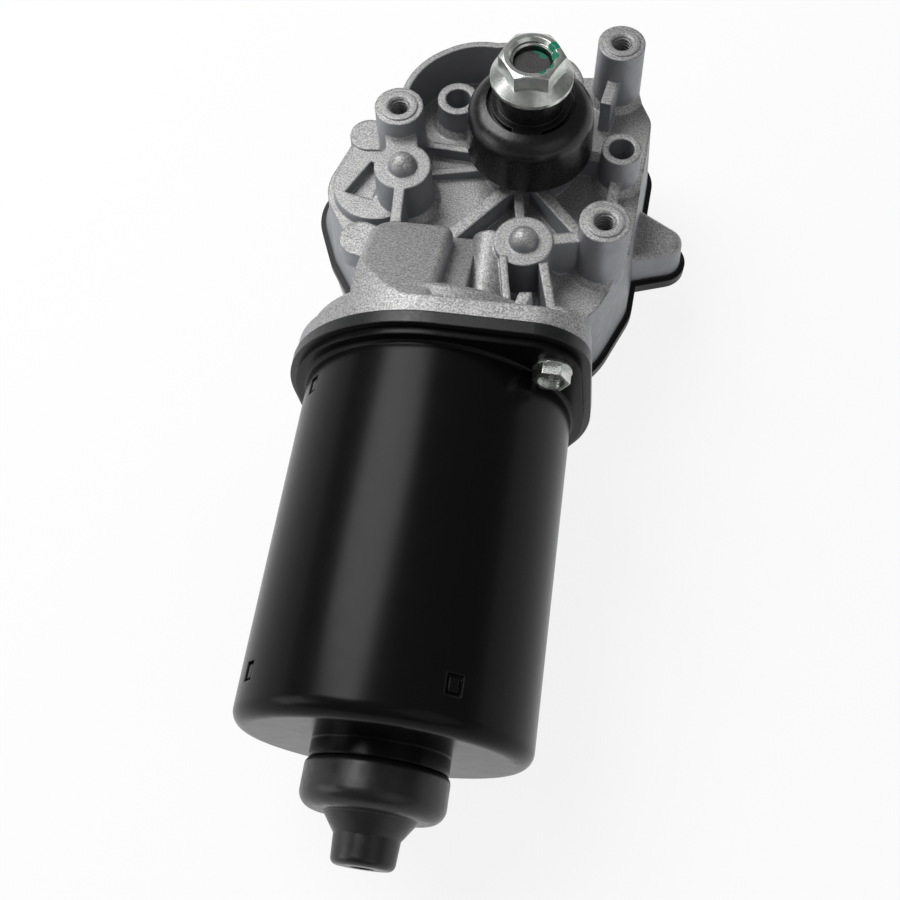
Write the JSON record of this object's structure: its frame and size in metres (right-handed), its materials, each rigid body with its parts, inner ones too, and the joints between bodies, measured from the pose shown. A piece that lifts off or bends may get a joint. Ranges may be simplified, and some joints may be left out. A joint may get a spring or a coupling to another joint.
{
  "type": "wiper motor",
  "caption": "Windscreen wiper gear motor: black can motor on a ribbed cast gear case with three threaded bosses and a capped output shaft with its crank nut.",
  "frame": {"origin": "where the output shaft's axis crosses the plane of the three mounting boss faces; the crank seat starts 2 mm above it on the same axis", "axes": "+Z along the output shaft towards the crank nut, +Y from the motor's vent boot towards the gear case, +X to the side of the lug"},
  "size_m": [0.1043, 0.213, 0.0854],
  "materials": {
    "cast_aluminium": "die-cast, fine sandblasted skin",
    "black_plate": "black moulded plate, semi-gloss",
    "black_paint": "gloss black paint on drawn steel",
    "cover_paint": "satin black coat",
    "gasket": "black seal",
    "grey_plastic": "light grey moulding",
    "cap_plastic": "black moulding, faint sheen",
    "boot_rubber": "black rubber",
    "zinc": "bright zinc plate",
    "steel": "ground steel",
    "gear_plastic": "natural acetal",
    "brass": "plain brass",
    "bronze": "oil-soaked sintered bronze",
    "copper": "copper",
    "enamel_wire": "enamelled copper wire",
    "lamination": "stacked sheet steel",
    "ferrite": "dark ferrite",
    "carbon": "pressed carbon",
    "switch_plastic": "brown phenolic"
  },
  "bodies": {
    "root": {"brush_plate": "black_plate", "brush_springs": "steel", "brush_tubes": "brass", "brushes": "carbon", "can_screws": "zinc", "chokes": "ferrite", "connector_housing": "grey_plastic", "connector_terminals": "brass", "contact_carrier": "switch_plastic", "counter_pin_left": "steel", "counter_pin_right": "steel", "cover_gasket": "gasket", "cover_screws": "zinc", "field_magnets": "ferrite", "front_bearing_outer": "steel", "gear_cover": "cover_paint", "gear_housing": "cast_aluminium", "motor_can": "black_paint", "o_ring": "gasket", "park_contacts": "copper", "rear_bush": "bronze", "shaft_bush_lower": "bronze", "shaft_bush_upper": "bronze", "thrust_ball": "steel", "thrust_plug": "steel", "vent_boot": "boot_rubber", "worm_bush": "bronze"},
    "output": {"output_shaft": "steel", "output_gear": "steel", "contact_ring": "copper", "circlip": "steel", "shaft_washer": "steel"},
    "cap": {"shaft_cap": "cap_plastic"},
    "nut": {"crank_nut": "zinc"},
    "armature": {"armature_shaft": "steel", "armature_core": "lamination", "armature_windings": "enamel_wire", "commutator": "copper", "front_bearing_inner": "steel", "bearing_balls": "steel"},
    "counter_left": {"counter_wheel_left": "gear_plastic", "counter_pinion_left": "steel"},
    "counter_right": {"counter_wheel_right": "gear_plastic", "counter_pinion_right": "steel"}
  },
  "joints": [
    {"name": "output_turn", "type": "hinge", "parent": "root", "child": "output", "pos_m": [0, 0, 0], "axis": [0, 0, 1], "continuous": true},
    {"name": "armature_turn", "type": "hinge", "parent": "root", "child": "armature", "pos_m": [-0.0142, 0, -0.027], "axis": [0, 1, 0], "continuous": true},
    {"name": "counter_left_turn", "type": "hinge", "parent": "root", "child": "counter_left", "pos_m": [-0.0306, -0.01482, -0.027], "axis": [0, 0, 1], "continuous": true},
    {"name": "counter_right_turn", "type": "hinge", "parent": "root", "child": "counter_right", "pos_m": [0.0022, -0.03393, -0.027], "axis": [0, 0, 1], "continuous": true},
    {"name": "cap_lift", "type": "slide", "parent": "output", "child": "cap", "axis": [0, 0, 1], "range_m": [0, 0.05]},
    {"name": "nut_unscrew", "type": "slide", "parent": "cap", "child": "nut", "axis": [0, 0, 1], "range_m": [0, 0.05]}
  ],
  "couplings": [
    {"joint": "armature_turn", "follows": "output_turn", "ratio": 60},
    {"joint": "counter_left_turn", "follows": "output_turn", "ratio": -2.4},
    {"joint": "counter_right_turn", "follows": "output_turn", "ratio": -2.4}
  ]
}
